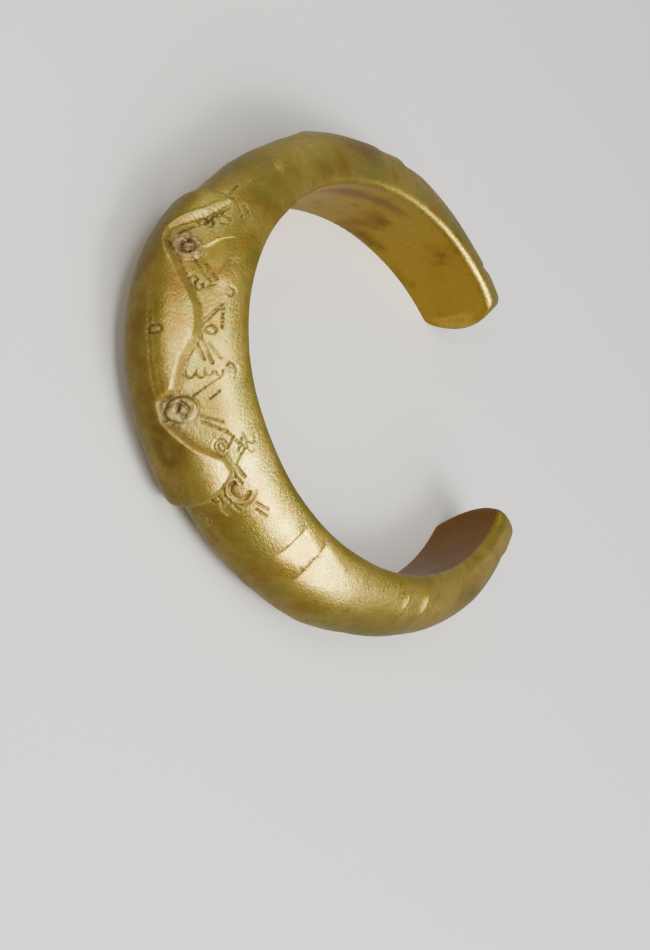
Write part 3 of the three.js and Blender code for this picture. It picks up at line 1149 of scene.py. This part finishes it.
class NodeSheet:
    """Adds shader nodes to a material in short calls."""

    layer_share: float = 0.6

    def __init__(self, material: bpy.types.Material) -> None:
        """Starts from the material's own nodes.

        Args:
            material: the material to add nodes to.
        """
        material.use_nodes = True
        self.tree = material.node_tree
        self.shader = self.tree.nodes["Principled BSDF"]
        self.place = self.tree.nodes.new("ShaderNodeTexCoord").outputs["Object"]

    def put(self, socket: bpy.types.NodeSocket, value: object) -> None:
        """Sets a socket, or links it.

        Args:
            socket: the socket to fill.
            value: a number, a colour, or another socket to link.
        """
        if isinstance(value, bpy.types.NodeSocket):
            self.tree.links.new(value, socket)
        elif isinstance(value, tuple):
            socket.default_value = (*value, 1.0)
        else:
            socket.default_value = value

    def attribute(self, zone: Zone) -> bpy.types.NodeSocket:
        """Reads one of the casting's zones.

        Args:
            zone: the zone to read.

        Returns:
            The zone's share.
        """
        node = self.tree.nodes.new("ShaderNodeAttribute")
        node.attribute_name = zone.value
        return node.outputs["Fac"]

    def grain(self, scale: float, detail: float, squeeze: Triple = (1.0, 1.0, 1.0)) -> bpy.types.NodeSocket:
        """Adds noise on the object's own coordinates.

        Args:
            scale: how many features there are to a metre.
            detail: how many finer layers it has.
            squeeze: factors on the three axes.

        Returns:
            The noise, about 0 to 1.
        """
        mapping = self.tree.nodes.new("ShaderNodeMapping")
        mapping.inputs["Scale"].default_value = squeeze
        self.tree.links.new(self.place, mapping.inputs["Vector"])
        node = self.tree.nodes.new("ShaderNodeTexNoise")
        self.tree.links.new(mapping.outputs["Vector"], node.inputs["Vector"])
        node.inputs["Scale"].default_value = scale
        node.inputs["Detail"].default_value = detail
        node.inputs["Roughness"].default_value = self.layer_share
        return node.outputs["Fac"]

    def spread(self, value: object, limits: Limits) -> bpy.types.NodeSocket:
        """Maps a value from one range to another and holds it there.

        Args:
            value: the number or socket to map.
            limits: the two ends of the value's own range, then what each of them becomes.

        Returns:
            The mapped value.
        """
        node = self.tree.nodes.new("ShaderNodeMapRange")
        node.clamp = True
        for name, number in zip(("From Min", "From Max", "To Min", "To Max"), limits):
            node.inputs[name].default_value = number
        self.put(node.inputs["Value"], value)
        return node.outputs["Result"]

    def reckon(self, operation: str, first: object, second: object) -> bpy.types.NodeSocket:
        """Works out one sum.

        Args:
            operation: which sum it is, in the node's own word for it.
            first: the first number or socket.
            second: the second number or socket.

        Returns:
            The sum's result.
        """
        node = self.tree.nodes.new("ShaderNodeMath")
        node.operation = operation
        self.put(node.inputs[0], first)
        self.put(node.inputs[1], second)
        return node.outputs[0]

    def times(self, first: object, second: object) -> bpy.types.NodeSocket:
        """Multiplies two values."""
        return self.reckon("MULTIPLY", first, second)

    def blend(self, share: object, under: object, over: object) -> bpy.types.NodeSocket:
        """Lays one colour over another.

        Args:
            share: how far the upper colour covers the lower one, 0 to 1.
            under: the lower colour.
            over: the upper colour.

        Returns:
            The blended colour.
        """
        node = self.tree.nodes.new("ShaderNodeMix")
        node.data_type = "RGBA"
        self.put(node.inputs["Factor"], share)
        under_colour, over_colour = (socket for socket in node.inputs if socket.type == "RGBA")
        self.put(under_colour, under)
        self.put(over_colour, over)
        return next(socket for socket in node.outputs if socket.type == "RGBA")


@dataclass(frozen=True)
class BronzeFinish:
    """Worn golden bronze with brown patina, dirt in its cuts, painted shade on the crest's lobe walls,
    painted light brightening the inner face, and traces of verdigris.

    A grain is how many features there are to a metre and how many finer layers it has. Limits are the
    two ends of a noise's or a share's range, then what each of them becomes.
    """

    gold: Colour = (0.72, 0.53, 0.105)
    olive: Colour = (0.46, 0.38, 0.06)
    green: Colour = (0.40, 0.39, 0.07)
    brown: Colour = (0.33, 0.19, 0.04)
    # The inner face's own more saturated gold, made brighter as painted light.
    inner_gold_and_painted_light: Colour = (0.82, 0.51, 0.055)
    orange: Colour = (0.52, 0.26, 0.03)
    umber: Colour = (0.27, 0.11, 0.025)
    # Dirt colour, also laid as painted shade on the crest's lobe walls and in the crease at their foot.
    dirt: Colour = (0.045, 0.027, 0.011)
    verdigris: Colour = (0.16, 0.145, 0.065)
    rosy: Colour = (0.21, 0.13, 0.07)
    broad_grain: Grain = (80.0, 3.0)
    cloudy_grain: Grain = (300.0, 6.0)
    fine_grain: Grain = (2300.0, 4.0)
    speck_grain: Grain = (3400.0, 2.0)
    tint_grain: Grain = (170.0, 3.0)
    hair_grain: Grain = (900.0, 3.0)
    hair_squeeze: Triple = (1.0, 0.12, 1.0)
    olive_share: Limits = (0.4, 0.62, 0.0, 1.0)
    stain_share: Limits = (0.5, 0.68, 0.0, 0.4)
    orange_share: Limits = (0.52, 0.66, 0.0, 0.55)
    green_share: Limits = (0.46, 0.34, 0.0, 0.5)
    freckle_share: Limits = (0.52, 0.68, 0.0, 0.55)
    brown_share: Limits = (0.32, 0.62, 0.25, 1.0)
    inner_gold_and_light_share: float = 0.8
    inner_orange_share: Limits = (0.5, 0.64, 0.0, 0.8)
    inner_brown_share: Limits = (0.58, 0.72, 0.0, 0.6)
    umber_share: float = 0.85
    broken_share: Limits = (0.35, 0.6, 0.5, 1.0)
    crust_share: float = 0.8
    pit_share: Limits = (0.72, 0.78, 0.0, 0.4)
    dirt_and_shade_share: float = 0.92
    metal: Limits = (0.0, 1.0, 1.0, 0.4)
    roughness: Limits = (0.35, 0.65, 0.24, 0.33)
    crust_roughness: float = 0.25
    fine_roughness: Limits = (0.4, 0.7, 0.0, 0.1)
    specular: Limits = (0.0, 1.0, 0.5, 0.15)
    coat: Limits = (0.0, 0.5, 0.06, 0.0)
    coat_roughness: float = 0.22
    hair_height: float = 0.4
    cloudy_height: float = 0.3
    bump_strength: float = 0.5
    bump_distance: float = 0.00018

    def material(self) -> bpy.types.Material:
        """Builds the bronze's material.

        Returns:
            A material of metal tones laid over each other by noise and by the casting's zones.
        """
        made = bpy.data.materials.new("worn_bronze")
        sheet = NodeSheet(made)
        broad = sheet.grain(*self.broad_grain)
        cloudy = sheet.grain(*self.cloudy_grain)
        fine = sheet.grain(*self.fine_grain)
        specks = sheet.grain(*self.speck_grain)
        tinted = sheet.grain(*self.tint_grain)
        colour = sheet.blend(sheet.spread(broad, self.olive_share), self.gold, self.olive)
        colour = sheet.blend(sheet.spread(cloudy, self.stain_share), colour, self.orange)
        colour = sheet.blend(sheet.spread(tinted, self.orange_share), colour, self.orange)
        colour = sheet.blend(sheet.spread(tinted, self.green_share), colour, self.green)
        colour = sheet.blend(sheet.spread(fine, self.freckle_share), colour, self.brown)
        patchy = sheet.times(sheet.attribute(Zone.BROWN), sheet.spread(cloudy, self.brown_share))
        colour = sheet.blend(patchy, colour, self.brown)
        inner = sheet.attribute(Zone.INNER)
        # The inner face's gold: its own tone, brightened as painted light because it reflects only the dim
        # surround.
        colour = sheet.blend(sheet.times(inner, self.inner_gold_and_light_share), colour, self.inner_gold_and_painted_light)
        blotch = sheet.times(inner, sheet.spread(broad, self.inner_orange_share))
        colour = sheet.blend(blotch, colour, self.orange)
        blotch = sheet.times(inner, sheet.spread(cloudy, self.inner_brown_share))
        colour = sheet.blend(blotch, colour, self.brown)
        umber = sheet.times(sheet.attribute(Zone.UMBER), self.umber_share)
        colour = sheet.blend(umber, colour, self.umber)
        broken = sheet.spread(fine, self.broken_share)
        rosy = sheet.times(sheet.attribute(Zone.ROSY), broken)
        colour = sheet.blend(sheet.times(rosy, self.crust_share), colour, self.rosy)
        green = sheet.times(sheet.attribute(Zone.VERDIGRIS), broken)
        colour = sheet.blend(sheet.times(green, self.crust_share), colour, self.verdigris)
        pits = sheet.spread(specks, self.pit_share)
        # Dirt in cuts and pits, and the crest's painted shade, darken the colour here.
        soil = sheet.reckon("MAXIMUM", sheet.times(sheet.attribute(Zone.DIRT_AND_SHADE), broken), pits)
        colour = sheet.blend(sheet.times(soil, self.dirt_and_shade_share), colour, self.dirt)
        crust = sheet.reckon("MAXIMUM", sheet.reckon("MAXIMUM", rosy, green), soil)
        rough = sheet.spread(cloudy, self.roughness)
        rough = sheet.reckon("ADD", rough, sheet.times(crust, self.crust_roughness))
        rough = sheet.reckon("ADD", rough, sheet.spread(fine, self.fine_roughness))
        settings = {
            "Base Color": colour,
            "Metallic": sheet.spread(crust, self.metal),
            "Roughness": rough,
            "Specular IOR Level": sheet.spread(crust, self.specular),
            "Coat Weight": sheet.spread(crust, self.coat),
            "Coat Roughness": self.coat_roughness,
            "Normal": self.scratches(sheet, fine, cloudy),
        }
        for name, value in settings.items():
            sheet.put(sheet.shader.inputs[name], value)
        return made

    def scratches(
        self, sheet: NodeSheet, fine: bpy.types.NodeSocket, cloudy: bpy.types.NodeSocket
    ) -> bpy.types.NodeSocket:
        """Roughens the surface with fine scratches and pits.

        Args:
            sheet: the material's nodes.
            fine: the fine grain.
            cloudy: the cloudy grain.

        Returns:
            The roughened surface's normal.
        """
        hair = sheet.grain(*self.hair_grain, self.hair_squeeze)
        height = sheet.reckon("ADD", sheet.times(hair, self.hair_height), fine)
        height = sheet.reckon("ADD", height, sheet.times(cloudy, self.cloudy_height))
        bump = sheet.tree.nodes.new("ShaderNodeBump")
        bump.inputs["Strength"].default_value = self.bump_strength
        bump.inputs["Distance"].default_value = self.bump_distance
        sheet.put(bump.inputs["Height"], height)
        return bump.outputs["Normal"]


@dataclass(frozen=True)
class Floor:
    """The plain pale floor that the bangle lies on."""

    size: float = 6.0
    colour: Colour = (0.62, 0.60, 0.56)
    roughness: float = 0.9

    def build(self) -> None:
        """Lays the floor at the bangle's underside."""
        bpy.ops.object.select_all(action="DESELECT")
        bpy.ops.mesh.primitive_plane_add(size=self.size)
        floor = bpy.context.object
        floor.name = "floor"
        made = bpy.data.materials.new("pale_floor")
        made.use_nodes = True
        shader = made.node_tree.nodes["Principled BSDF"]
        shader.inputs["Base Color"].default_value = (*self.colour, 1.0)
        shader.inputs["Roughness"].default_value = self.roughness
        floor.data.materials.append(made)
        floor.visible_glossy = False


@dataclass(frozen=True)
class Softbox:
    """A soft light that faces the bangle: a disc, or a rectangle where it has a length."""

    name: str
    azimuth: float
    elevation: float
    distance: float
    size: float
    power: float
    length: float = 0.0
    turn: float = 0.0

    def build(self, target: Vector) -> None:
        """Hangs the light and points it.

        Args:
            target: the place that it points at.
        """
        swing = Euler((0.0, radians(-self.elevation), radians(self.azimuth))).to_matrix()
        away = swing @ Vector((1.0, 0.0, 0.0))
        light = bpy.data.lights.new(self.name, "AREA")
        light.shape = "RECTANGLE" if self.length else "DISK"
        light.size = self.size
        light.size_y = self.length or self.size
        light.energy = self.power
        lamp = bpy.data.objects.new(self.name, light)
        bpy.context.collection.objects.link(lamp)
        lamp.location = target + away * self.distance
        aimed = away.to_track_quat("Z", "Y").to_matrix()
        lamp.rotation_euler = (aimed @ Euler((0.0, 0.0, radians(self.turn))).to_matrix()).to_euler()


@dataclass(frozen=True)
class Studio:
    """Plain soft light on the floor and the bangle."""

    surround: Colour = (0.32, 0.32, 0.32)
    softboxes: tuple[Softbox, ...] = (
        Softbox("key", -88.0, 54.0, 0.6, 0.18, 2.4),
        Softbox("key_halo", -84.0, 50.0, 0.62, 0.5, 3.0),
        Softbox("strip", -155.0, 68.0, 0.6, 0.15, 3.4, 0.7, 67.0),
        Softbox("low", -64.0, 32.0, 0.6, 0.2, 0.5),
        Softbox("back_fill", 168.0, 33.0, 0.7, 0.3, 1.3),
        Softbox("side_fill", 110.0, 10.0, 0.7, 0.3, 0.5),
    )

    def build(self, target: Vector) -> None:
        """Sets the surround and hangs the lights.

        Args:
            target: the place that the lights point at.
        """
        world = bpy.data.worlds.new("studio")
        world.use_nodes = True
        world.node_tree.nodes["Background"].inputs["Color"].default_value = (*self.surround, 1.0)
        bpy.context.scene.world = world
        for softbox in self.softboxes:
            softbox.build(target)


@dataclass(frozen=True)
class PhotoCamera:
    """The camera at the photograph's viewing angle."""

    place: Triple = (-329.4, -103.14, 283.4)
    turn: Triple = (14.998, -49.169, -4.591)
    lens: float = 103.15
    frame_height: float = 36.0

    def build(self) -> None:
        """Places the camera and makes it the scene's own."""
        lens = bpy.data.cameras.new("photo_camera")
        lens.sensor_fit = "VERTICAL"
        lens.sensor_height = self.frame_height
        lens.lens = self.lens
        camera = bpy.data.objects.new("photo_camera", lens)
        bpy.context.collection.objects.link(camera)
        camera.location = Vector(self.place) * MM
        camera.rotation_euler = Euler([radians(angle) for angle in self.turn])
        bpy.context.scene.camera = camera


def main() -> None:
    """Builds the bangle, its floor, its light and its camera."""
    logging.basicConfig(level=logging.INFO, format="%(name)s: %(message)s")
    PhotoCamera().build()
    low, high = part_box("bangle")
    Floor().build()
    Studio().build((low + high) / 2)
    casting = BangleCasting()
    piece = casting.build()
    casting.dress(piece, BronzeFinish())
    LOG.info("%s has %d faces", piece.name, len(piece.data.polygons))


if __name__ == "__main__":
    main()
